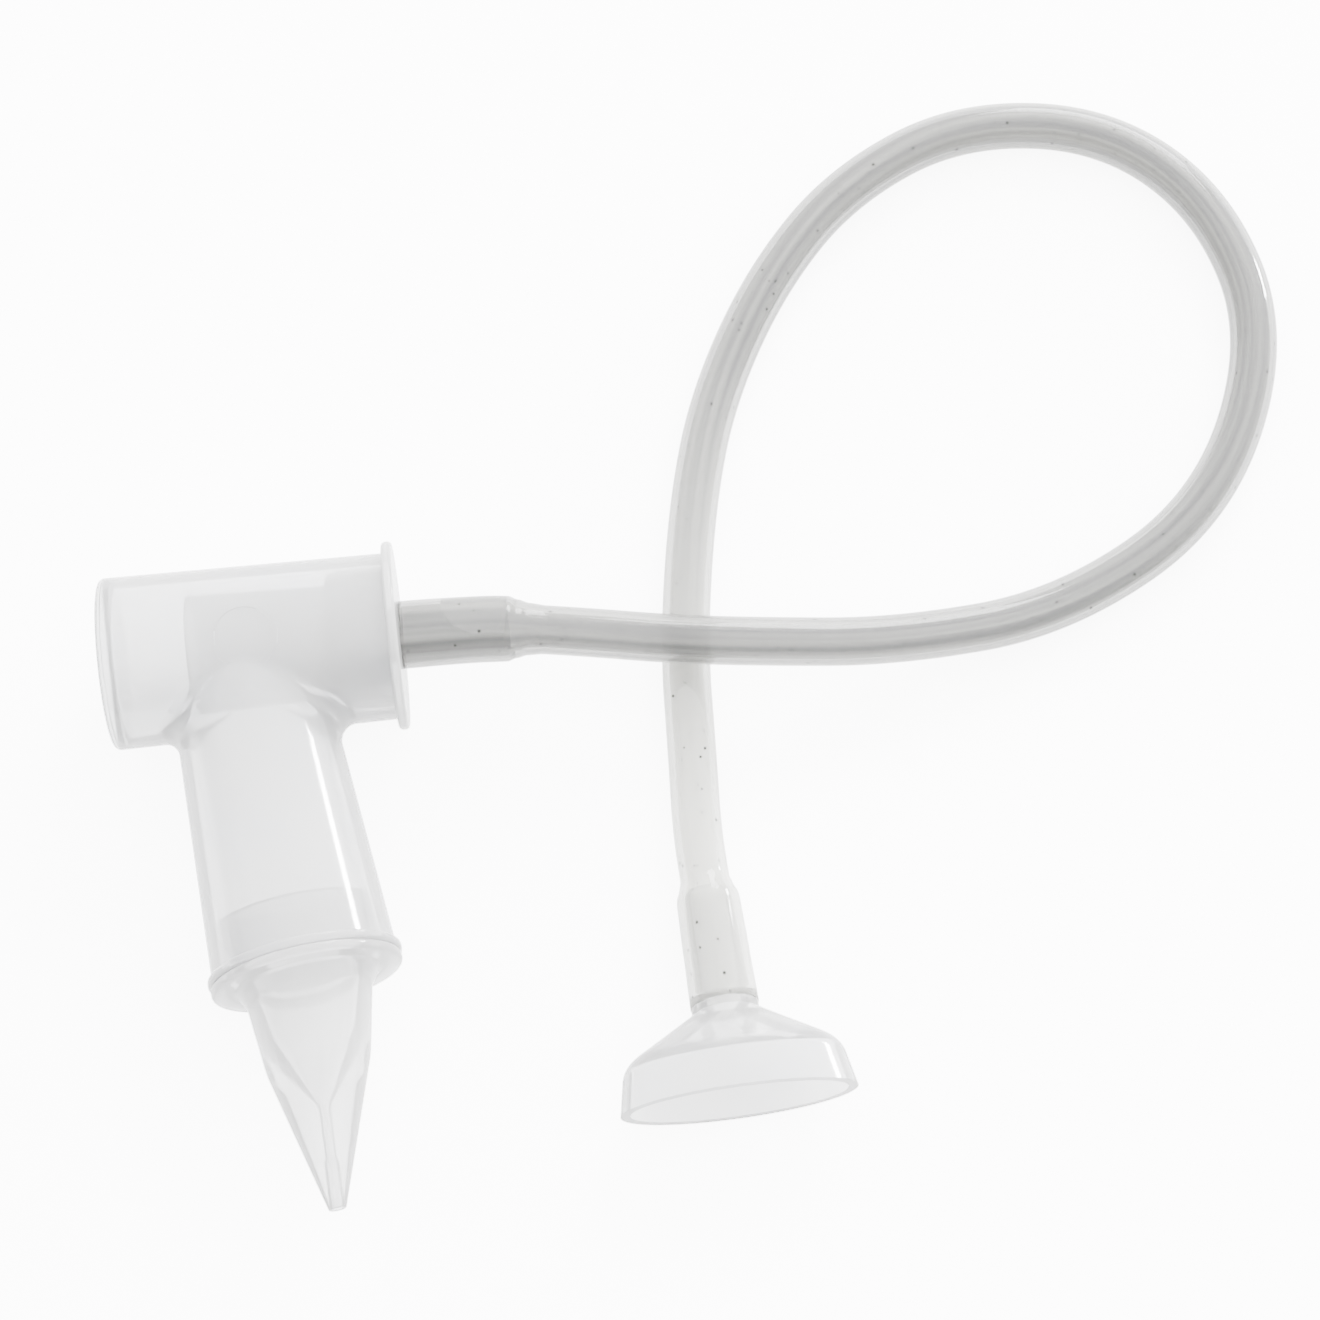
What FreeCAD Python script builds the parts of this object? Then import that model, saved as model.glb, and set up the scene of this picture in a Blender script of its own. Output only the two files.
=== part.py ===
import FreeCAD, Part
import math
import os
from FreeCAD import Placement, Rotation, Vector

# A baby's nasal aspirator, worked by mouth suction. It lies on its side on a table at z = 0.
# A tee-shaped hollow body has a closed barrel along X and a stem that leaves it near -Y.
# A soft nozzle plugs the stem, and an end cap with a baffle sleeve plugs the barrel.
# A limp hose leaves the cap's nipple, makes one open loop that passes over itself,
# and ends on the spigot of an oval mouthpiece. Millimetres, +Z up.
# The origin is on the table, under the middle of everything but the hose.

# Barrel: a closed cup whose axis runs along X. It tapers a little to its open end.
AXIS_Y = 33.92
AXIS_Z = 13.5
CLOSED_END_X = -49.28
OPEN_END_X = -9.08
CLOSED_RADIUS = 12.25
OPEN_RADIUS = 11.85
WALL = 1.6
END_WALL = 2.0
EDGE_ROUND = 0.9
INNER_EDGE_ROUND = 0.6

# Stem: a cone whose axis starts on the barrel's axis and leans 7 degrees towards the cap.
STEM_X = -30.38
STEM_LEAN_DEG = 7.0
STEM_ROOT_RADIUS = 10.56
STEM_FLARE = 0.0482
STEM_LENGTH = 48.2
JUNCTION_FILLET = 3.0
LIP_RADIUS = 13.5
LIP_THICKNESS = 1.3
LIP_ROUND = 0.5

# Witness ring: a low circular ridge that the mould leaves on top of the junction.
RING_RADIUS = 4.4
RING_WIDTH = 0.5
RING_HEIGHT = 0.2
RING_X = -28.7
RING_TILT_DEG = -11.0

# End cap: flange, plug skirt and hose nipple, all coaxial with the barrel.
FLANGE_RADIUS = 13.45
FLANGE_THICKNESS = 1.5
FLANGE_ROUND = 0.6
SKIRT_RADIUS = 10.2
SKIRT_LENGTH = 8.2
SKIRT_LEAD = 1.4
SKIRT_LEAD_DEPTH = 0.8
NIPPLE_RADIUS = 3.9
NIPPLE_BORE = 2.6
NIPPLE_LENGTH = 15.4
NIPPLE_LEAD = 0.9
NIPPLE_LEAD_DEPTH = 0.5

# Baffle sleeve: pressed into the skirt. Air has to go round its open end.
SLEEVE_ROOT_RADIUS = 8.1
SLEEVE_OPEN_RADIUS = 8.7
SLEEVE_WALL = 1.1
SLEEVE_REACH = 28.2
SLEEVE_EDGE_ROUND = 0.4

# Soft nozzle: measured from the barrel's axis along the stem.
FIT_GAP = 0.05
COLLAR_LENGTH = 8.0
COLLAR_BORE = 9.25
COLLAR_ROUND = 0.3
TIP_FLANGE_RADIUS = 13.3
TIP_FLANGE_THICKNESS = 1.4
TIP_FLANGE_ROUND = 0.5
NOZZLE_LENGTH = 31.9
NOZZLE_DROOP = 0.07
NOZZLE_FOOT_RADIUS = 10.3
NOZZLE_FOOT_LENGTH = 1.0
NOZZLE_ROOT_RADIUS = 8.75
NOZZLE_ROOT_ROUND = 1.0
NOZZLE_SHOULDER = 11.8
NOZZLE_SHOULDER_RADIUS = 7.15
NOZZLE_SHOULDER_ROUND = 12.0
NOZZLE_END_RADIUS = 1.1
NOZZLE_END_ROUND = 0.4
FUNNEL_RADIUS = 7.2
FUNNEL_SHOULDER = 8.0
FUNNEL_SHOULDER_RADIUS = 5.4
FUNNEL_SHOULDER_ROUND = 3.0
FUNNEL_LENGTH = 17.5
NOZZLE_BORE = 0.55
POCKET_LENGTH = 6.8
POCKET_RADIUS = 0.75

# Hose and the two ends that are stretched over the nipple and over the spigot.
HOSE_RADIUS = 3.5
HOSE_BORE = 2.5
CAP_CUFF_RADIUS = 4.65
CUFF_SHOULDER = 2.2
MOUTH_CUFF_TOP_RADIUS = 4.15
MOUTH_CUFF_ROOT_RADIUS = 4.65
# The hose's route, from the end of the cap cuff to the end of the mouthpiece cuff.
ROUTE = [
    (10.02, 33.92, 13.5), (19.6, 33.92, 13.5), (30.6, 31.8, 17.6), (42.7, 29.2, 18.1),
    (62.2, 27.7, 12.5), (88.2, 31.1, 3.5), (112.7, 45.1, 3.5), (125.2, 70.6, 3.5),
    (121.2, 94.1, 3.5), (106.7, 109.6, 3.5), (84.2, 112.6, 3.5), (65.2, 103.6, 3.5),
    (51.7, 89.1, 3.5), (41.7, 71.6, 3.5), (36.7, 54.1, 3.5), (33.7, 35.6, 3.5),
    (32.0, 16.4, 3.5),
]
# The last run is straight into the mouthpiece's spigot.
LAST_RUN = 8.0
# The part of the shorter of two runs that the arc between them may take.
ARC_SHARE = 0.45

# Mouthpiece: a flattened bell on a round spigot. It lies on its rim and points a little up.
SPIGOT_END = Vector(31.82, -6.28, 4.75)
MOUTH_YAW_DEG = 1.8
MOUTH_PITCH_DEG = 5.5
SPIGOT_TOP_RADIUS = 3.3
SPIGOT_ROOT_RADIUS = 3.85
SPIGOT_LENGTH = 16.8
SPIGOT_BORE = 2.4
SPIGOT_LEAD = 0.5
SPIGOT_LEAD_DEPTH = 0.3
MOUTH_WALL = 1.2
NECK_RADIUS = 4.7
NECK_LENGTH = 1.3
NECK_ROUND = 0.3
# The bore runs this far into the bell before the bell's own hollow starts to widen.
THROAT_LENGTH = 1.0
BELL_FILLET = 4.5
# Distance from the spigot's end, half width and half height of the bell's outside.
BELL_CORNER = (24.1, 15.2, 7.1)
BELL_RIM = (30.9, 16.5, 7.5)
# The hollow's corner lies this far past the outside's, so that the sloping wall stays even.
INNER_CORNER_STEP = 0.8

# How far a cutting shape runs past the open face that it cuts.
PAST = 1.0


def rounded_edges(points, radii, closed):
    """Straight edges through the points, with a tangent arc of its own radius at each corner."""
    count = len(points)
    corners = range(count) if closed else range(1, count - 1)
    arcs = {}
    for i in corners:
        if radii[i] <= 0:
            continue
        into = (points[i] - points[i - 1]).normalize()
        out = (points[(i + 1) % count] - points[i]).normalize()
        half_turn = into.getAngle(out) / 2
        cut = radii[i] * math.tan(half_turn)
        inward = (out - into).normalize()
        middle = points[i] + inward * (radii[i] / math.cos(half_turn) - radii[i])
        arcs[i] = (points[i] - into * cut, middle, points[i] + out * cut)
    edges = []
    for i in range(count if closed else count - 1):
        j = (i + 1) % count
        start = arcs[i][2] if i in arcs else points[i]
        end = arcs[j][0] if j in arcs else points[j]
        edges.append(Part.LineSegment(start, end).toShape())
        if j in arcs:
            edges.append(Part.Arc(*arcs[j]).toShape())
    return edges


def turned(profile):
    """A solid of revolution about Z from (height, radius) corners, or (height, radius, round)."""
    points = [Vector(corner[1], 0, corner[0]) for corner in profile]
    radii = [corner[2] if len(corner) > 2 else 0 for corner in profile]
    wire = Part.Wire(rounded_edges(points, radii, True))
    return Part.Face(wire).revolve(Vector(0, 0, 0), Vector(0, 0, 1), 360)


def placed(shape, placement):
    """The shape carried from its own frame, whose Z is its axis, into the part's frame."""
    return shape.transformed(placement.toMatrix())


def oval(height, half_width, half_height):
    """An ellipse across Z, wide along X, as a wire."""
    centre = Vector(0, 0, height)
    if half_width == half_height:
        return Part.Wire([Part.makeCircle(half_width, centre)])
    ellipse = Part.Ellipse(centre + Vector(half_width, 0, 0),
                           centre + Vector(0, half_height, 0), centre)
    return Part.Wire([ellipse.toShape()])


def band(*sections):
    """A solid with straight sides between ovals."""
    return Part.makeLoft([oval(*section) for section in sections], True, True)


def drooped(shape, start):
    """The shape sheared sideways in proportion to its distance past the start."""
    shear = FreeCAD.Matrix()
    shear.A13 = -NOZZLE_DROOP
    shear.A14 = NOZZLE_DROOP * start
    return shape.transformGeometry(shear)


ALONG_BARREL = Placement(Vector(0, AXIS_Y, AXIS_Z), Rotation(Vector(0, 0, 1), Vector(1, 0, 0)))

lean = math.radians(STEM_LEAN_DEG)
STEM_WAY = Vector(math.sin(lean), -math.cos(lean), 0)
STEM_SIDE = Vector(math.cos(lean), math.sin(lean), 0)
ALONG_STEM = Placement(Vector(STEM_X, AXIS_Y, AXIS_Z),
                       Rotation(STEM_SIDE, STEM_WAY.cross(STEM_SIDE), STEM_WAY, "ZXY"))

yaw = math.radians(MOUTH_YAW_DEG)
pitch = math.radians(MOUTH_PITCH_DEG)
MOUTH_WAY = Vector(math.sin(yaw) * math.cos(pitch), -math.cos(yaw) * math.cos(pitch),
                   math.sin(pitch))
MOUTH_SIDE = Vector(math.cos(yaw), math.sin(yaw), 0)
ALONG_MOUTH = Placement(SPIGOT_END,
                        Rotation(MOUTH_SIDE, MOUTH_WAY.cross(MOUTH_SIDE), MOUTH_WAY, "ZXY"))

FLANGE_FACE_X = OPEN_END_X + FLANGE_THICKNESS
NIPPLE_END_X = FLANGE_FACE_X + NIPPLE_LENGTH


def stem_radius(distance):
    return STEM_ROOT_RADIUS + STEM_FLARE * distance


def barrel_body():
    """The tee: barrel and stem fused, filleted where they meet, then hollowed."""
    barrel = turned([
        (CLOSED_END_X, 0), (CLOSED_END_X, CLOSED_RADIUS, EDGE_ROUND),
        (OPEN_END_X, OPEN_RADIUS), (OPEN_END_X, 0)])
    stem = turned([
        (0, 0), (0, stem_radius(0)), (STEM_LENGTH, stem_radius(STEM_LENGTH)), (STEM_LENGTH, 0)])
    lip = turned([
        (STEM_LENGTH - LIP_THICKNESS, 0), (STEM_LENGTH - LIP_THICKNESS, LIP_RADIUS, LIP_ROUND),
        (STEM_LENGTH, LIP_RADIUS, LIP_ROUND), (STEM_LENGTH, 0)])
    outside = placed(barrel, ALONG_BARREL).fuse(placed(stem, ALONG_STEM))
    outside = outside.makeFillet(JUNCTION_FILLET, junction_edges(outside))
    outside = outside.fuse(placed(lip, ALONG_STEM)).fuse(witness_ring(placed(barrel, ALONG_BARREL)))

    bore_start = CLOSED_END_X + END_WALL
    slope = (OPEN_RADIUS - CLOSED_RADIUS) / (OPEN_END_X - CLOSED_END_X)
    barrel_bore = turned([
        (bore_start, 0), (bore_start, CLOSED_RADIUS - WALL, INNER_EDGE_ROUND),
        (OPEN_END_X + PAST, OPEN_RADIUS - WALL + slope * PAST), (OPEN_END_X + PAST, 0)])
    stem_bore = turned([
        (0, 0), (0, stem_radius(0) - WALL),
        (STEM_LENGTH + PAST, stem_radius(STEM_LENGTH + PAST) - WALL), (STEM_LENGTH + PAST, 0)])
    inside = placed(barrel_bore, ALONG_BARREL).fuse(placed(stem_bore, ALONG_STEM))
    return outside.cut(inside)


def junction_edges(shape):
    """The edges where the stem's cone meets the barrel: on the barrel, and as wide as the stem."""
    found = []
    for edge in shape.Edges:
        box = edge.BoundBox
        on_barrel = box.YMin > AXIS_Y - CLOSED_RADIUS - WALL and box.YMax < AXIS_Y
        if on_barrel and box.XLength > STEM_ROOT_RADIUS and box.ZLength > WALL:
            found.append(edge)
    return found


def witness_ring(barrel):
    """A thin ridge that follows the barrel's outside under a circular band."""
    grown = barrel.copy()
    grown.scale(1 + RING_HEIGHT / OPEN_RADIUS, Vector(RING_X, AXIS_Y, AXIS_Z))
    low = CLOSED_RADIUS - WALL - RING_RADIUS / 2
    high = CLOSED_RADIUS + WALL
    pipe = turned([
        (low, RING_RADIUS - RING_WIDTH / 2), (low, RING_RADIUS + RING_WIDTH / 2),
        (high, RING_RADIUS + RING_WIDTH / 2), (high, RING_RADIUS - RING_WIDTH / 2)])
    facing = Rotation(Vector(1, 0, 0), -RING_TILT_DEG)
    pipe = placed(pipe, Placement(Vector(RING_X, AXIS_Y, AXIS_Z), facing))
    return pipe.common(grown)


def end_cap():
    skirt_end = OPEN_END_X - SKIRT_LENGTH
    return placed(turned([
        (FLANGE_FACE_X, NIPPLE_BORE), (NIPPLE_END_X, NIPPLE_BORE),
        (NIPPLE_END_X, NIPPLE_RADIUS - NIPPLE_LEAD_DEPTH),
        (NIPPLE_END_X - NIPPLE_LEAD, NIPPLE_RADIUS),
        (FLANGE_FACE_X, NIPPLE_RADIUS), (FLANGE_FACE_X, FLANGE_RADIUS, FLANGE_ROUND),
        (OPEN_END_X, FLANGE_RADIUS, FLANGE_ROUND), (OPEN_END_X, SKIRT_RADIUS),
        (skirt_end + SKIRT_LEAD, SKIRT_RADIUS), (skirt_end, SKIRT_RADIUS - SKIRT_LEAD_DEPTH),
        (skirt_end, SLEEVE_ROOT_RADIUS), (OPEN_END_X, SLEEVE_ROOT_RADIUS),
        (OPEN_END_X, NIPPLE_BORE)]), ALONG_BARREL)


def baffle_sleeve():
    open_x = OPEN_END_X - SLEEVE_REACH
    skirt_end = OPEN_END_X - SKIRT_LENGTH
    return placed(turned([
        (OPEN_END_X, SLEEVE_ROOT_RADIUS - SLEEVE_WALL), (OPEN_END_X, SLEEVE_ROOT_RADIUS),
        (skirt_end, SLEEVE_ROOT_RADIUS), (open_x, SLEEVE_OPEN_RADIUS, SLEEVE_EDGE_ROUND),
        (open_x, SLEEVE_OPEN_RADIUS - SLEEVE_WALL, SLEEVE_EDGE_ROUND),
        (skirt_end, SLEEVE_ROOT_RADIUS - SLEEVE_WALL)]), ALONG_BARREL)


def soft_tip():
    """Collar in the stem, flange over its lip, and a nozzle that droops a little sideways."""
    start = STEM_LENGTH - COLLAR_LENGTH
    face = STEM_LENGTH + TIP_FLANGE_THICKNESS
    end = face + NOZZLE_LENGTH
    clearance = WALL + FIT_GAP
    plug = turned([
        (start, COLLAR_BORE, COLLAR_ROUND), (start, stem_radius(start) - clearance, COLLAR_ROUND),
        (STEM_LENGTH, stem_radius(STEM_LENGTH) - clearance),
        (STEM_LENGTH, TIP_FLANGE_RADIUS, TIP_FLANGE_ROUND),
        (face, TIP_FLANGE_RADIUS, TIP_FLANGE_ROUND), (face, FUNNEL_RADIUS),
        (STEM_LENGTH, COLLAR_BORE)])
    nozzle = turned([
        (face, 0), (face, NOZZLE_FOOT_RADIUS),
        (face + NOZZLE_FOOT_LENGTH, NOZZLE_ROOT_RADIUS, NOZZLE_ROOT_ROUND),
        (face + NOZZLE_SHOULDER, NOZZLE_SHOULDER_RADIUS, NOZZLE_SHOULDER_ROUND),
        (end, NOZZLE_END_RADIUS, NOZZLE_END_ROUND), (end, 0)])
    hollow = turned([
        (face, 0), (face, FUNNEL_RADIUS),
        (face + FUNNEL_SHOULDER, FUNNEL_SHOULDER_RADIUS, FUNNEL_SHOULDER_ROUND),
        (face + FUNNEL_LENGTH, NOZZLE_BORE), (end - POCKET_LENGTH, NOZZLE_BORE),
        (end - POCKET_LENGTH, POCKET_RADIUS), (end, POCKET_RADIUS), (end, 0)])
    return placed(plug.fuse(drooped(nozzle.cut(hollow), face)), ALONG_STEM)


def cap_cuff():
    """The hose's end over the cap's nipple, down to the plain hose."""
    inner = NIPPLE_RADIUS + FIT_GAP
    return placed(turned([
        (FLANGE_FACE_X, inner), (FLANGE_FACE_X, CAP_CUFF_RADIUS),
        (NIPPLE_END_X, CAP_CUFF_RADIUS), (NIPPLE_END_X + CUFF_SHOULDER, HOSE_RADIUS),
        (NIPPLE_END_X + CUFF_SHOULDER, HOSE_BORE), (NIPPLE_END_X, inner)]), ALONG_BARREL)


def mouth_cuff():
    """The hose's other end over the mouthpiece's tapered spigot."""
    return placed(turned([
        (-CUFF_SHOULDER, HOSE_BORE), (-CUFF_SHOULDER, HOSE_RADIUS),
        (0, MOUTH_CUFF_TOP_RADIUS), (SPIGOT_LENGTH, MOUTH_CUFF_ROOT_RADIUS),
        (SPIGOT_LENGTH, SPIGOT_ROOT_RADIUS + FIT_GAP), (0, SPIGOT_TOP_RADIUS + FIT_GAP)]),
        ALONG_MOUTH)


def mouthpiece():
    """Round spigot and neck, then an oval bell with a rounded shoulder, hollow throughout."""
    neck_end = SPIGOT_LENGTH + NECK_LENGTH
    spigot = turned([
        (0, 0), (0, SPIGOT_TOP_RADIUS - SPIGOT_LEAD_DEPTH), (SPIGOT_LEAD, SPIGOT_TOP_RADIUS),
        (SPIGOT_LENGTH, SPIGOT_ROOT_RADIUS), (SPIGOT_LENGTH, NECK_RADIUS, NECK_ROUND),
        (neck_end, NECK_RADIUS), (neck_end, 0)])
    neck = (neck_end, NECK_RADIUS, NECK_RADIUS)
    outside = band(neck, BELL_CORNER).fuse(band(BELL_CORNER, BELL_RIM)).removeSplitter()
    shoulder = [edge for edge in outside.Edges
                if edge.BoundBox.ZLength < FIT_GAP and edge.BoundBox.XLength > NECK_RADIUS
                and abs(edge.BoundBox.Center.z - BELL_CORNER[0]) < FIT_GAP]
    outside = outside.makeFillet(BELL_FILLET, shoulder)

    corner_at, corner_width, corner_height = BELL_CORNER
    rim_at, rim_width, rim_height = BELL_RIM
    inner_corner = (corner_at + INNER_CORNER_STEP, corner_width - MOUTH_WALL, corner_height - MOUTH_WALL)
    inner_rim = (rim_at + PAST, rim_width - MOUTH_WALL, rim_height - MOUTH_WALL)
    inside = band((neck_end + THROAT_LENGTH, SPIGOT_BORE, SPIGOT_BORE), inner_corner)
    inside = inside.fuse(band(inner_corner, inner_rim))
    bore = Part.makeCylinder(SPIGOT_BORE, neck_end + THROAT_LENGTH)
    return placed(outside.fuse(spigot).cut(inside).cut(bore), ALONG_MOUTH)


def hose():
    """A plain tube of straight runs and tangent arcs, each as large as its two runs allow."""
    last = SPIGOT_END - MOUTH_WAY * CUFF_SHOULDER
    points = [Vector(*point) for point in ROUTE] + [last - MOUTH_WAY * LAST_RUN, last]
    radii = [0.0] * len(points)
    for i in range(1, len(points) - 1):
        into = points[i] - points[i - 1]
        out = points[i + 1] - points[i]
        half_turn = into.getAngle(out) / 2
        radii[i] = ARC_SHARE * min(into.Length, out.Length) / math.tan(half_turn)
        print("hose point", i, "run %.1f" % into.Length, "turn %.1f" % math.degrees(2 * half_turn),
              "arc radius %.1f" % radii[i])
    path = Part.Wire(rounded_edges(points, radii, False))
    way = (points[1] - points[0]).normalize()
    outer, inner = [path.makePipeShell(
        [Part.Wire([Part.makeCircle(radius, points[0], way)])], True, True)
        for radius in (HOSE_RADIUS, HOSE_BORE)]
    tube = outer.cut(inner)
    section = math.pi * (HOSE_RADIUS ** 2 - HOSE_BORE ** 2)
    print("hose length %.1f" % path.Length, "volume %.1f" % tube.Volume,
          "section times length %.1f" % (section * path.Length),
          "smallest arc radius %.1f" % min(r for r in radii if r > 0))
    return tube


NODES = {
    "barrel_body": barrel_body,
    "end_cap": end_cap,
    "baffle_sleeve": baffle_sleeve,
    "soft_tip": soft_tip,
    "hose": hose,
    "hose_cuff_cap": cap_cuff,
    "hose_cuff_mouth": mouth_cuff,
    "mouthpiece": mouthpiece,
}

os.makedirs("parts", exist_ok=True)
for name, make in NODES.items():
    shape = make()
    box = shape.BoundBox
    print(name, "valid", shape.isValid(), "solids", len(shape.Solids),
          "volume %.1f" % shape.Volume,
          "x %.2f %.2f y %.2f %.2f z %.2f %.2f" % (
              box.XMin, box.XMax, box.YMin, box.YMax, box.ZMin, box.ZMax))
    shape.exportStep("parts/" + name + ".step")
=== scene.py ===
import bmesh
import bpy
import math
from mathutils import Matrix, Vector


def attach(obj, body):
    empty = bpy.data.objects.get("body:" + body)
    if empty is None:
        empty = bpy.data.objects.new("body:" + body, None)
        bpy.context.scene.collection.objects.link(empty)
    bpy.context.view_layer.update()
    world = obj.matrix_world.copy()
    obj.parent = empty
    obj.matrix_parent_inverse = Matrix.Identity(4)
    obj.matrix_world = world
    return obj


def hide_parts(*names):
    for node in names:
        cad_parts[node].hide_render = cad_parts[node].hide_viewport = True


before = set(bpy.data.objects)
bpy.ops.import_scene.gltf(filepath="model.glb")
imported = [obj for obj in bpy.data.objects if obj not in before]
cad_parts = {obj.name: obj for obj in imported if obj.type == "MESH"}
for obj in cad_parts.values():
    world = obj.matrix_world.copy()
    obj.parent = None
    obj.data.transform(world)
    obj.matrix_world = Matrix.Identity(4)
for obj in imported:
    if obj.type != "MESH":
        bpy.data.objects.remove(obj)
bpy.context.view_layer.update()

# The camera looks down at the aspirator from in front, about twenty degrees off straight down,
# and aims at the middle of the lay-out, on the table.
MM = 0.001
AIM = Vector((29.2, 31.2, 0.0)) * MM
CAMERA_DISTANCE = 500 * MM
CAMERA_AZIMUTH = math.radians(-6.2)
CAMERA_ELEVATION = math.radians(69.5)
LENS_LENGTH_IN_MM = 93.4
SENSOR_WIDTH_IN_MM = 36
NEAREST_SEEN = 10 * MM
camera = bpy.data.objects.new("camera", bpy.data.cameras.new("camera"))
camera.data.lens = LENS_LENGTH_IN_MM
camera.data.sensor_width = SENSOR_WIDTH_IN_MM
camera.data.clip_start = NEAREST_SEEN
camera_way = Vector((math.sin(CAMERA_AZIMUTH) * math.cos(CAMERA_ELEVATION),
                     -math.cos(CAMERA_AZIMUTH) * math.cos(CAMERA_ELEVATION),
                     math.sin(CAMERA_ELEVATION)))
camera.location = AIM + camera_way * CAMERA_DISTANCE
camera.rotation_euler = (-camera_way).to_track_quat("-Z", "Y").to_euler()
bpy.context.scene.collection.objects.link(camera)
bpy.context.scene.camera = camera


# The hose is limp clear silicone tube, extruded 7 mm outside and 5 mm inside. Its two ends
# are stretched over the cap's nipple and the mouthpiece's spigot, which thins their walls.
# It makes one open loop on the table and passes over itself in a long low hump.
HOSE_RADIUS = 3.5 * MM
HOSE_BORE = 2.5 * MM
HOSE_ROUTE_MM = [
    (-7.58, 33.92, 13.5), (-0.5, 33.86, 13.4), (8.2, 33.45, 13.15), (18.5, 31.9, 12.6),
    (30.4, 29.8, 12.0), (42.5, 28.3, 11.4), (63.2, 27.7, 7.0), (88.3, 30.9, 3.5),
    (112.9, 44.9, 3.5), (125.3, 71.7, 3.5), (120.8, 94.8, 3.5), (106.2, 109.5, 3.5),
    (84.0, 112.5, 3.5), (65.1, 103.7, 3.5), (52.0, 89.6, 3.5), (41.9, 71.7, 3.5),
    (36.7, 55.0, 3.5), (32.8, 32.5, 3.5), (32.1, 15.0, 3.5), (31.5, 3.87, 3.77),
    (31.75, -4.09, 4.54), (32.35, -22.99, 6.36),
]
# Distance from each end of the hose, outside radius and bore radius, in mm.
CAP_END_SHAPE = [(0.0, 4.85, 4.1), (13.0, 4.75, 3.95), (15.2, 4.7, 3.9), (16.6, 4.2, 3.2),
                 (18.2, 3.75, 2.65), (20.5, 3.5, 2.5)]
MOUTH_END_SHAPE = [(0.0, 4.8, 3.9), (8.0, 4.65, 3.7), (16.0, 4.5, 3.5), (17.4, 3.95, 2.9),
                   (19.0, 3.5, 2.5)]
STEPS_ALONG_A_SPAN = 24
STEPS_ROUND = 48


def hose_line(route_mm):
    """Points along the smooth line that the route's control points give."""
    curve = bpy.data.curves.new("hose_line", "CURVE")
    curve.dimensions = "3D"
    curve.resolution_u = STEPS_ALONG_A_SPAN
    spline = curve.splines.new("NURBS")
    spline.points.add(len(route_mm) - 1)
    for point, place in zip(spline.points, route_mm):
        point.co = (*(Vector(place) * MM), 1.0)
    spline.order_u = 3
    spline.use_endpoint_u = True
    holder = bpy.data.objects.new("hose_line", curve)
    bpy.context.scene.collection.objects.link(holder)
    mesh = bpy.data.meshes.new_from_object(holder)
    points = [vertex.co.copy() for vertex in mesh.vertices]
    bpy.data.objects.remove(holder)
    bpy.data.meshes.remove(mesh)
    return points


def end_radii(shape, distance):
    """Outside and bore radius in mm, eased between the shape's rows, at a distance in metres."""
    at = distance / MM
    for (a, outer_a, bore_a), (b, outer_b, bore_b) in zip(shape, shape[1:]):
        if at <= b:
            share = max(at - a, 0) / (b - a)
            share = share * share * (3 - 2 * share)
            return (outer_a + (outer_b - outer_a) * share, bore_a + (bore_b - bore_a) * share)
    return (HOSE_RADIUS / MM, HOSE_BORE / MM)


def face_out(mesh):
    """Turns a closed shell's faces outwards and smooths their shading."""
    shell = bmesh.new()
    shell.from_mesh(mesh)
    bmesh.ops.recalc_face_normals(shell, faces=shell.faces)
    shell.to_mesh(mesh)
    shell.free()
    mesh.shade_smooth()


def swept_wall(name, line, radii):
    """A closed tube wall along the line, with its own outside and bore radius at each point."""
    up = Vector((0, 0, 1))
    spokes = []
    for i in range(len(line)):
        way = (line[min(i + 1, len(line) - 1)] - line[max(i - 1, 0)]).normalized()
        up = (up - way * up.dot(way)).normalized()
        side = way.cross(up)
        angles = [2 * math.pi * step / STEPS_ROUND for step in range(STEPS_ROUND)]
        spokes.append([up * math.cos(angle) + side * math.sin(angle) for angle in angles])
    vertices = []
    for wall in (0, 1):
        for centre, ring, radius in zip(line, spokes, radii):
            vertices += [centre + spoke * radius[wall] for spoke in ring]
    # The outside's rings come first and the bore's after them, so this closed loop of ring
    # numbers runs out along the outside, back along the bore, and over both cut ends.
    last = len(line) - 1
    loop = list(range(last + 1)) + list(range(2 * last + 1, last, -1))
    faces = []
    for ring, following in zip(loop, loop[1:] + loop[:1]):
        for step in range(STEPS_ROUND):
            beside = (step + 1) % STEPS_ROUND
            faces.append([ring * STEPS_ROUND + step, ring * STEPS_ROUND + beside,
                          following * STEPS_ROUND + beside, following * STEPS_ROUND + step])
    mesh = bpy.data.meshes.new(name)
    mesh.from_pydata(vertices, [], faces)
    face_out(mesh)
    return mesh


def unwrap_along(mesh, travelled):
    """A UV map in metres, round the hose in U and along it in V."""
    unwrapped = mesh.uv_layers.new(name="along_hose")
    for face in mesh.polygons:
        steps = [mesh.loops[i].vertex_index % STEPS_ROUND for i in face.loop_indices]
        at_seam = STEPS_ROUND - 1 in steps
        for i in face.loop_indices:
            ring, step = divmod(mesh.loops[i].vertex_index, STEPS_ROUND)
            step = STEPS_ROUND if at_seam and step == 0 else step
            unwrapped.data[i].uv = (step / STEPS_ROUND * 2 * math.pi * HOSE_RADIUS,
                                    travelled[ring % len(travelled)])


def linear(colour):
    """An sRGB hex colour as the linear colour that a shader wants."""
    channels = [int(colour[i:i + 2], 16) / 255 for i in (1, 3, 5)]
    return [c / 12.92 if c <= 0.04045 else ((c + 0.055) / 1.055) ** 2.4 for c in channels] + [1]


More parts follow.
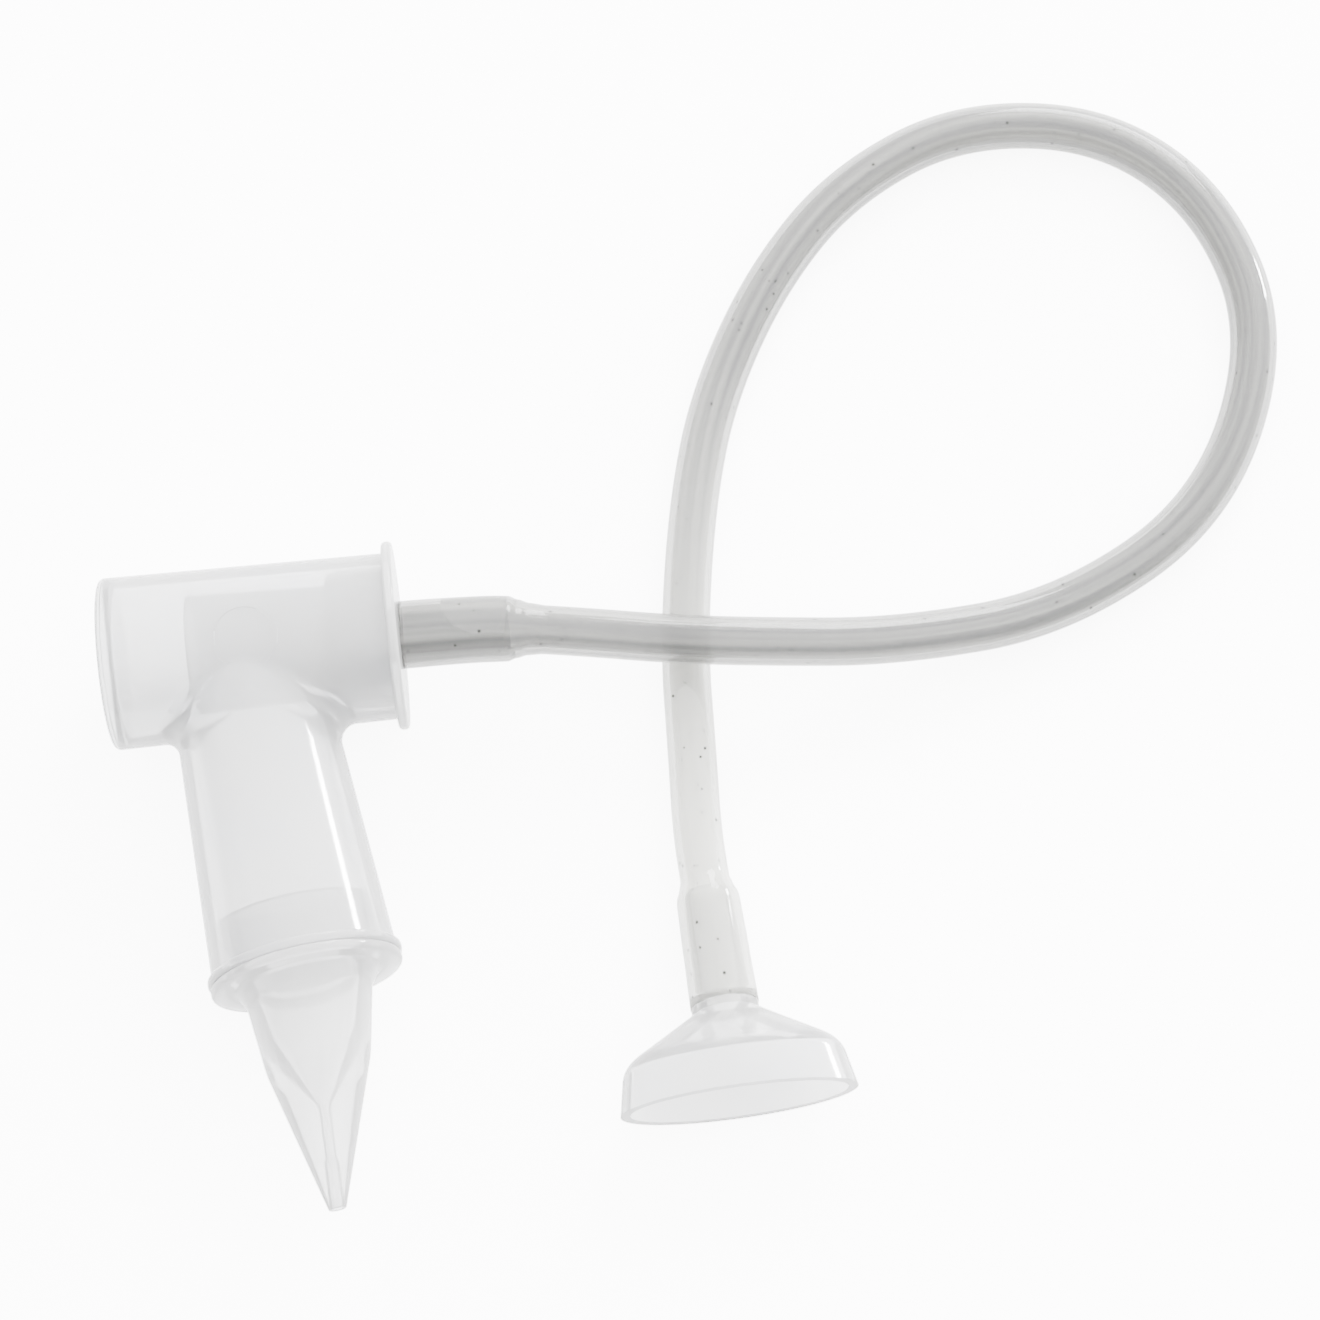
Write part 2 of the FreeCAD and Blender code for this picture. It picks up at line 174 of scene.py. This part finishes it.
def add_node(tree, kind, settings=None, **inputs):
    """A node with its settings, and its inputs, by name or identifier, set or linked."""
    node = tree.nodes.new(kind)
    for name, value in (settings or {}).items():
        setattr(node, name, value)
    sockets = {socket.name.replace(" ", "_"): socket for socket in list(node.inputs)[::-1]}
    sockets.update({socket.identifier: socket for socket in node.inputs})
    for name, value in inputs.items():
        if isinstance(value, bpy.types.NodeSocket):
            tree.links.new(value, sockets[name])
        else:
            sockets[name].default_value = value
    return node


# A Mix node's colour output comes after its number and vector outputs.
MIXED_COLOUR = 2


def clear_extruded_silicone():
    """Clear silicone rubber, extruded: see-through with a smoky cast from its thick wall. Its
    last run before the mouthpiece is painted paler, as painted light. The die leaves faint lines
    along it, which soften its wet gloss, and its tacky skin holds a few dark specks of lint."""
    silicone_ior = 1.41
    clarity = 0.8
    smoky, smoky_pale = linear("#8C8C8C"), linear("#BCBCB8")
    # Painted light: the hose is painted paler from pale_from to pale_all along it, and stays
    # paler to the mouthpiece.
    painted_light_pale = linear("#EBEBE7")
    pale_from, pale_all = 270 * MM, 345 * MM
    # A real die line is about a tenth as wide. These are as fine as can still be seen.
    line_width, line_length = 1.1 * MM, 125 * MM
    line_height, line_bump = 0.05 * MM, 0.05
    lines_low, lines_high = 0.35, 0.65
    glossiest, roughest = 0.05, 0.1
    lint = linear("#262624")
    lint_spacing, lint_radius = 2.6 * MM, 0.24 * MM

    material = bpy.data.materials.new("clear_extruded_silicone")
    material.use_nodes = True
    tree = material.node_tree
    shader = tree.nodes["Principled BSDF"]
    shader.inputs["IOR"].default_value = silicone_ior
    shader.inputs["Transmission Weight"].default_value = clarity
    along = add_node(tree, "ShaderNodeUVMap", {"uv_map": "along_hose"})
    stretched = add_node(tree, "ShaderNodeMapping", Vector=along.outputs["UV"],
                         Scale=(1 / line_width, 1 / line_length, 1.0))
    lines = add_node(tree, "ShaderNodeTexNoise", Vector=stretched.outputs["Vector"], Scale=1.0,
                     Detail=1.0)
    streak = add_node(tree, "ShaderNodeMapRange", Value=lines.outputs["Fac"],
                      From_Min=lines_low, From_Max=lines_high)
    wall = add_node(tree, "ShaderNodeMix", {"data_type": "RGBA"}, A_Color=smoky,
                    B_Color=smoky_pale, Factor=streak.outputs["Result"])
    reach = add_node(tree, "ShaderNodeSeparateXYZ", Vector=along.outputs["UV"])
    # Painted light: this share moves the colour to the paler one along the run towards the
    # mouthpiece.
    painted_light_share = add_node(tree, "ShaderNodeMapRange", Value=reach.outputs["Y"],
                       From_Min=pale_from, From_Max=pale_all)
    paler = add_node(tree, "ShaderNodeMix", {"data_type": "RGBA"}, B_Color=painted_light_pale,
                     A_Color=wall.outputs[MIXED_COLOUR], Factor=painted_light_share.outputs["Result"])
    place = add_node(tree, "ShaderNodeTexCoord")
    cells = add_node(tree, "ShaderNodeTexVoronoi", Vector=place.outputs["Object"],
                     Scale=1 / lint_spacing)
    speck = add_node(tree, "ShaderNodeMath", {"operation": "LESS_THAN"},
                     Value=cells.outputs["Distance"], Value_001=lint_radius / lint_spacing)
    specked = add_node(tree, "ShaderNodeMix", {"data_type": "RGBA"}, B_Color=lint,
                       A_Color=paler.outputs[MIXED_COLOUR], Factor=speck.outputs["Value"])
    tree.links.new(specked.outputs[MIXED_COLOUR], shader.inputs["Base Color"])
    gloss = add_node(tree, "ShaderNodeMapRange", Value=lines.outputs["Fac"],
                     To_Min=glossiest, To_Max=roughest)
    tree.links.new(gloss.outputs["Result"], shader.inputs["Roughness"])
    bump = add_node(tree, "ShaderNodeBump", Height=lines.outputs["Fac"], Strength=line_bump,
                    Distance=line_height)
    tree.links.new(bump.outputs["Normal"], shader.inputs["Normal"])
    return material


hose_points = hose_line(HOSE_ROUTE_MM)
travelled = [0.0]
for before, after in zip(hose_points, hose_points[1:]):
    travelled.append(travelled[-1] + (after - before).length)
hose_radii = []
for distance in travelled:
    near_cap = end_radii(CAP_END_SHAPE, distance)
    near_mouth = end_radii(MOUTH_END_SHAPE, travelled[-1] - distance)
    hose_radii.append([max(pair) * MM for pair in zip(near_cap, near_mouth)])
hose_mesh = swept_wall("clear_hose", hose_points, hose_radii)
unwrap_along(hose_mesh, travelled)
hose_mesh.materials.append(clear_extruded_silicone())
hose = bpy.data.objects.new("clear_hose", hose_mesh)
bpy.context.scene.collection.objects.link(hose)
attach(hose, "hose_line")
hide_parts("hose", "hose_cuff_cap", "hose_cuff_mouth")


# The tee body is a barrel closed at one end, with a stem that leans away from it, moulded in one
# of natural polypropylene. The resin has no pigment, so it is milky and see-through, with a
# smooth gloss and slow clouds where the melt flowed and cooled.
POLYPROPYLENE_IOR = 1.49
BODY_CLARITY = 0.8
BODY_TINTS = ("#EEF0F4", "#FCFBF8")
BODY_HAZE = (0.07, 0.13)
# The mould's grain is drawn coarse enough to show.
MOULD_GRAIN = 0.6 * MM


def moulded_and_milky(name, ior, clarity, tints, haze, skin_grain):
    """A milky see-through moulding. Light scatters a little way into it, its tint and haze
    drift in slow clouds, and its skin copies the mould's fine grain."""
    cloud_size = 13 * MM
    scatter_depth = 2.0 * MM
    grain_height, grain_bump = 0.02 * MM, 0.02
    material = bpy.data.materials.new(name)
    material.use_nodes = True
    tree = material.node_tree
    shader = tree.nodes["Principled BSDF"]
    shader.inputs["IOR"].default_value = ior
    shader.inputs["Subsurface Weight"].default_value = 1.0
    shader.inputs["Subsurface Radius"].default_value = (1.0, 1.0, 1.0)
    shader.inputs["Subsurface Scale"].default_value = scatter_depth
    shader.inputs["Transmission Weight"].default_value = clarity
    place = add_node(tree, "ShaderNodeTexCoord")
    cloud = add_node(tree, "ShaderNodeTexNoise", Vector=place.outputs["Object"],
                     Scale=1 / cloud_size)
    tint = add_node(tree, "ShaderNodeMix", {"data_type": "RGBA"}, A_Color=linear(tints[0]),
                    B_Color=linear(tints[1]), Factor=cloud.outputs["Fac"])
    tree.links.new(tint.outputs[MIXED_COLOUR], shader.inputs["Base Color"])
    gloss = add_node(tree, "ShaderNodeMapRange", Value=cloud.outputs["Fac"],
                     To_Min=haze[0], To_Max=haze[1])
    tree.links.new(gloss.outputs["Result"], shader.inputs["Roughness"])
    grain = add_node(tree, "ShaderNodeTexNoise", Vector=place.outputs["Object"],
                     Scale=1 / skin_grain)
    bump = add_node(tree, "ShaderNodeBump", Height=grain.outputs["Fac"], Strength=grain_bump,
                    Distance=grain_height)
    tree.links.new(bump.outputs["Normal"], shader.inputs["Normal"])
    return material


polypropylene = moulded_and_milky("moulded_polypropylene", POLYPROPYLENE_IOR, BODY_CLARITY,
                                  BODY_TINTS, BODY_HAZE, MOULD_GRAIN)
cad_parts["barrel_body"].material_slots[0].material = polypropylene


# The mouthpiece is a flattened bell on a tapered spigot, which is pushed into the hose's end. It
# is moulded in one piece of the same natural polypropylene as the tee body.
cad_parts["mouthpiece"].material_slots[0].material = polypropylene


# The end cap is a flange with a plug skirt, which is pushed into the barrel's open end, and a
# nipple for the hose. It is moulded of natural polypropylene, in a copy of the body's with whiter
# tints and less clarity, painted lighter as painted light so that cap and sleeve stay pale under
# other walls.
CAP_CLARITY = 0.66
# Painted light: these tints are whiter than the body's, to keep the cap and sleeve light where
# other walls shade them.
CAP_TINTS = ("#FBFCFD", "#FFFFFD")
CAP_HAZE = (0.1, 0.16)
lighter_copy_polypropylene = moulded_and_milky("thick_moulded_polypropylene", POLYPROPYLENE_IOR,
                                        CAP_CLARITY, CAP_TINTS, CAP_HAZE, MOULD_GRAIN)
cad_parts["end_cap"].material_slots[0].material = lighter_copy_polypropylene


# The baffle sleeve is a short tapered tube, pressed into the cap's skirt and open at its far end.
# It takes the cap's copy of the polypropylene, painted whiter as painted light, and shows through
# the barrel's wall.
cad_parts["baffle_sleeve"].material_slots[0].material = lighter_copy_polypropylene


# The nozzle is one moulding of soft milky silicone: a collar that plugs the stem, a flange over
# the stem's lip, and a thick-walled cone that droops a little to one side. A funnel inside it
# narrows to a fine bore, which opens into a short pocket at the tip.
STEM_TOP = Vector((-30.38, 33.92, 13.5)) * MM
STEM_LEAN = math.radians(7)
# How far aside the cone goes, as a share of the distance past the flange's face.
NOZZLE_DROOP = 0.07
# Heights from the barrel's axis and radii round the stem's, in mm.
COLLAR_AT = 40.2
LIP_AT = 48.2
FACE_AT = 49.6
END_AT = 81.4
POCKET_AT = END_AT - 6.8
COLLAR_BORE = 9.25
FLANGE_RADIUS = 13.3
POCKET_RADIUS = 0.75
FINE_BORE = 0.55
# The stem's own bore at the barrel's axis, and how much wider it grows in each mm of height.
STEM_BORE = 8.96
STEM_BORE_GROWTH = 0.0482
COLLAR_GAP = 0.05
COLLAR_FOOT = STEM_BORE + STEM_BORE_GROWTH * COLLAR_AT - COLLAR_GAP
COLLAR_TOP = STEM_BORE + STEM_BORE_GROWTH * LIP_AT - COLLAR_GAP
# Height, radius and corner rounding, round the cut wall.
NOZZLE_OUTLINE = [
    (COLLAR_AT, COLLAR_BORE, 0.3), (COLLAR_AT, COLLAR_FOOT, 0.3), (LIP_AT, COLLAR_TOP, 0.1),
    (LIP_AT, FLANGE_RADIUS, 0.5), (FACE_AT, FLANGE_RADIUS, 0.6), (FACE_AT, 10.0, 1.0),
    (FACE_AT + 2.2, 8.7, 2.0), (FACE_AT + 11.8, 7.2, 14.0), (END_AT, 1.2, 0.2),
    (END_AT, POCKET_RADIUS, 0.1), (POCKET_AT, POCKET_RADIUS, 0.1), (POCKET_AT, FINE_BORE, 0.05),
    (FACE_AT + 17.5, 0.6, 2.0), (FACE_AT + 8.0, 5.4, 4.0), (FACE_AT, 7.2, 1.0),
]
STEPS_IN_A_CORNER = 7
NOZZLE_STEPS_AROUND = 128
CRISP_FROM = math.radians(50)
NOZZLE_IOR = 1.43
NOZZLE_CLARITY = 0.74
NOZZLE_TINTS = ("#FDFDFE", "#FFFFFE")
NOZZLE_HAZE = (0.07, 0.12)
NOZZLE_GRAIN = 0.9 * MM


def rounded_outline(corners):
    """Points along a closed outline whose corners are arcs of their own radius."""
    points = []
    places = [Vector((radius, 0, height)) for height, radius, rounding in corners]
    roundings = [rounding for height, radius, rounding in corners]
    for i, (place, rounding) in enumerate(zip(places, roundings)):
        into = (place - places[i - 1]).normalized()
        out = (places[(i + 1) % len(places)] - place).normalized()
        half_turn = into.angle(out) / 2
        cut = rounding * math.tan(half_turn)
        inward = (out - into).normalized()
        centre = place + inward * rounding / math.cos(half_turn)
        start = place - into * cut - centre
        end = place + out * cut - centre
        for step in range(STEPS_IN_A_CORNER):
            way = start.slerp(end, step / (STEPS_IN_A_CORNER - 1))
            points.append(centre + way.normalized() * rounding)
    return [point * MM for point in points]


def turned_and_drooped():
    """A tree that turns its object's outline round Z and shears what lies past a height."""
    tree = bpy.data.node_groups.new("turned_and_drooped", "GeometryNodeTree")
    sockets = [("Outline", "INPUT", "NodeSocketGeometry"),
               ("Steps Around", "INPUT", "NodeSocketInt"),
               ("Droop", "INPUT", "NodeSocketFloat"),
               ("Droop Start", "INPUT", "NodeSocketFloat"),
               ("Finish", "INPUT", "NodeSocketMaterial"),
               ("Piece", "OUTPUT", "NodeSocketGeometry")]
    for name, way, kind in sockets:
        tree.interface.new_socket(name, in_out=way, socket_type=kind)
    given = add_node(tree, "NodeGroupInput")

    # A grid one unit square, with a column for each point of the outline and a row for each step.
    count = add_node(tree, "GeometryNodeAttributeDomainSize", Geometry=given.outputs["Outline"])
    rows = add_node(tree, "ShaderNodeMath", {"operation": "ADD"},
                    Value=given.outputs["Steps Around"], Value_001=1)
    grid = add_node(tree, "GeometryNodeMeshGrid", Size_X=1.0, Size_Y=1.0,
                    Vertices_X=count.outputs["Point Count"], Vertices_Y=rows.outputs["Value"])
    spot = add_node(tree, "GeometryNodeInputPosition")
    share = add_node(tree, "ShaderNodeSeparateXYZ", Vector=spot.outputs["Position"])

    # Each column goes to its point of the outline, and each row to its angle round Z.
    last = add_node(tree, "ShaderNodeMath", {"operation": "SUBTRACT"},
                    Value=count.outputs["Point Count"], Value_001=1)
    half = add_node(tree, "ShaderNodeMath", {"operation": "MULTIPLY"},
                    Value=last.outputs["Value"], Value_001=0.5)
    column = add_node(tree, "ShaderNodeMath", {"operation": "MULTIPLY_ADD"},
                      Value=share.outputs["X"], Value_001=last.outputs["Value"],
                      Value_002=half.outputs["Value"])
    index = add_node(tree, "FunctionNodeFloatToInt", {"rounding_mode": "ROUND"},
                     Float=column.outputs["Value"])
    picked = add_node(tree, "GeometryNodeSampleIndex", {"data_type": "FLOAT_VECTOR"},
                      Geometry=given.outputs["Outline"], Value=spot.outputs["Position"],
                      Index=index.outputs["Integer"])
    angle = add_node(tree, "ShaderNodeMath", {"operation": "MULTIPLY"},
                     Value=share.outputs["Y"], Value_001=2 * math.pi)
    turned = add_node(tree, "ShaderNodeVectorRotate", {"rotation_type": "Z_AXIS"},
                      Vector=picked.outputs["Value"], Angle=angle.outputs["Value"])

    # What lies past the droop's start moves aside, by a share of how far past it lies.
    height = add_node(tree, "ShaderNodeSeparateXYZ", Vector=turned.outputs["Vector"])
    past = add_node(tree, "ShaderNodeMath", {"operation": "SUBTRACT", "use_clamp": True},
                    Value=height.outputs["Z"], Value_001=given.outputs["Droop Start"])
    shift = add_node(tree, "ShaderNodeMath", {"operation": "MULTIPLY"},
                     Value=past.outputs["Value"], Value_001=given.outputs["Droop"])
    aside = add_node(tree, "ShaderNodeCombineXYZ", X=shift.outputs["Value"])
    moved = add_node(tree, "ShaderNodeVectorMath", {"operation": "SUBTRACT"},
                     Vector=turned.outputs["Vector"], Vector_001=aside.outputs["Vector"])
    formed = add_node(tree, "GeometryNodeSetPosition", Geometry=grid.outputs["Mesh"],
                      Position=moved.outputs["Vector"])

    # The grid's opposite edges now lie on each other, and merging them closes the shell.
    closed = add_node(tree, "GeometryNodeMergeByDistance", Geometry=formed.outputs["Geometry"],
                      Distance=0.001 * MM)
    real = add_node(tree, "GeometryNodeRealizeInstances", Geometry=closed.outputs["Geometry"])
    finished = add_node(tree, "GeometryNodeSetMaterial", Geometry=real.outputs["Geometry"],
                        Material=given.outputs["Finish"])
    add_node(tree, "NodeGroupOutput", Piece=finished.outputs["Geometry"])
    return tree


moulded_silicone = moulded_and_milky("moulded_silicone", NOZZLE_IOR, NOZZLE_CLARITY,
                                     NOZZLE_TINTS, NOZZLE_HAZE, NOZZLE_GRAIN)
outline = rounded_outline(NOZZLE_OUTLINE)
outline.append(outline[0])
outline_mesh = bpy.data.meshes.new("nozzle_outline")
outline_mesh.from_pydata(outline, [(i, i + 1) for i in range(len(outline) - 1)], [])
maker = bpy.data.objects.new("nozzle_outline", outline_mesh)
bpy.context.scene.collection.objects.link(maker)
nozzle_tree = turned_and_drooped()
turning = maker.modifiers.new("turned", "NODES")
turning.node_group = nozzle_tree
nozzle_inputs = {"Steps Around": NOZZLE_STEPS_AROUND, "Droop": NOZZLE_DROOP,
                 "Droop Start": FACE_AT * MM, "Finish": moulded_silicone}
for socket in nozzle_tree.interface.items_tree:
    if socket.name in nozzle_inputs:
        turning[socket.identifier] = nozzle_inputs[socket.name]
nozzle_mesh = bpy.data.meshes.new_from_object(
    maker.evaluated_get(bpy.context.evaluated_depsgraph_get()))
maker.modifiers.remove(turning)
bpy.data.objects.remove(maker)

stem_way = Vector((math.sin(STEM_LEAN), -math.cos(STEM_LEAN), 0))
stem_side = Vector((math.cos(STEM_LEAN), math.sin(STEM_LEAN), 0))
along_stem = Matrix((stem_side, stem_way.cross(stem_side), stem_way)).transposed().to_4x4()
along_stem.translation = STEM_TOP
nozzle_mesh.transform(along_stem)
face_out(nozzle_mesh)
nozzle_mesh.set_sharp_from_angle(angle=CRISP_FROM)
nozzle = bpy.data.objects.new("soft_nozzle", nozzle_mesh)
bpy.context.scene.collection.objects.link(nozzle)
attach(nozzle, "nozzle")
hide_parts("soft_tip")


# The table is a sheet of matt white paper that glows as a light table does, because a clear
# object takes its brightness from what lies behind it. The glow that the camera sees is
# stronger than the glow that reaches the object.
FLOOR_SIZE = 3.0
PAPER_WHITE = linear("#E4E4E4")
PAPER_ROUGHNESS = 0.9
GLOW_ON_OBJECT = 2.4
GLOW_IN_VIEW = 8.0
bpy.ops.mesh.primitive_plane_add(size=FLOOR_SIZE, location=(0, 0, 0))
floor = bpy.context.object
floor.name = "floor"
paper = bpy.data.materials.new("white_paper")
paper.use_nodes = True
paper_shader = paper.node_tree.nodes["Principled BSDF"]
paper_shader.inputs["Base Color"].default_value = PAPER_WHITE
paper_shader.inputs["Roughness"].default_value = PAPER_ROUGHNESS
paper_shader.inputs["Emission Color"].default_value = (1, 1, 1, 1)
seen = add_node(paper.node_tree, "ShaderNodeLightPath")
glow = add_node(paper.node_tree, "ShaderNodeMapRange", Value=seen.outputs["Is Camera Ray"],
                To_Min=GLOW_ON_OBJECT, To_Max=GLOW_IN_VIEW)
paper.node_tree.links.new(glow.outputs["Result"], paper_shader.inputs["Emission Strength"])
floor.data.materials.append(paper)


# The studio's soft light comes from above and behind, over a darker horizon that draws the
# edges of the clear walls.
BRIGHTEST_WAY = Vector((0.25, 0.5, 0.83)).normalized()
HORIZON = (0.15, 0.15, 0.155, 1)
OVERHEAD = (1, 1, 1, 1)
BRIGHT_FROM = 0.75
SKY_STRENGTH = 7.0
world = bpy.data.worlds.new("studio")
bpy.context.scene.world = world
world.use_nodes = True
sky = world.node_tree
direction = add_node(sky, "ShaderNodeTexCoord")
towards = add_node(sky, "ShaderNodeVectorMath", {"operation": "DOT_PRODUCT"},
                   Vector=direction.outputs["Generated"], Vector_001=BRIGHTEST_WAY)
shade = add_node(sky, "ShaderNodeValToRGB", Fac=towards.outputs["Value"])
shade.color_ramp.elements[0].color = HORIZON
shade.color_ramp.elements[1].position = BRIGHT_FROM
shade.color_ramp.elements[1].color = OVERHEAD
sky.links.new(shade.outputs["Color"], sky.nodes["Background"].inputs["Color"])
sky.nodes["Background"].inputs["Strength"].default_value = SKY_STRENGTH


# A small lamp low on the right, a metre off, makes the crisp highlights, and a large soft box
# behind the object lifts its upper sides.
LOW_LAMP_PLACE = AIM + Vector((0.865, 0.475, 0.17))
LOW_LAMP_SIZE = 0.13
LOW_LAMP_WATTS = 16
BACK_BOX_PLACE = Vector((0.5, 1.0, 0.6))
BACK_BOX_SIZE = 0.5
BACK_BOX_WATTS = 26


def soft_box(name, place, size, watts):
    """A square lamp that faces the middle of the lay-out."""
    light = bpy.data.objects.new(name, bpy.data.lights.new(name, "AREA"))
    light.data.size = size
    light.data.energy = watts
    light.location = place
    light.rotation_euler = (AIM - place).to_track_quat("-Z", "Y").to_euler()
    bpy.context.scene.collection.objects.link(light)


soft_box("low_lamp", LOW_LAMP_PLACE, LOW_LAMP_SIZE, LOW_LAMP_WATTS)
soft_box("back_box", BACK_BOX_PLACE, BACK_BOX_SIZE, BACK_BOX_WATTS)
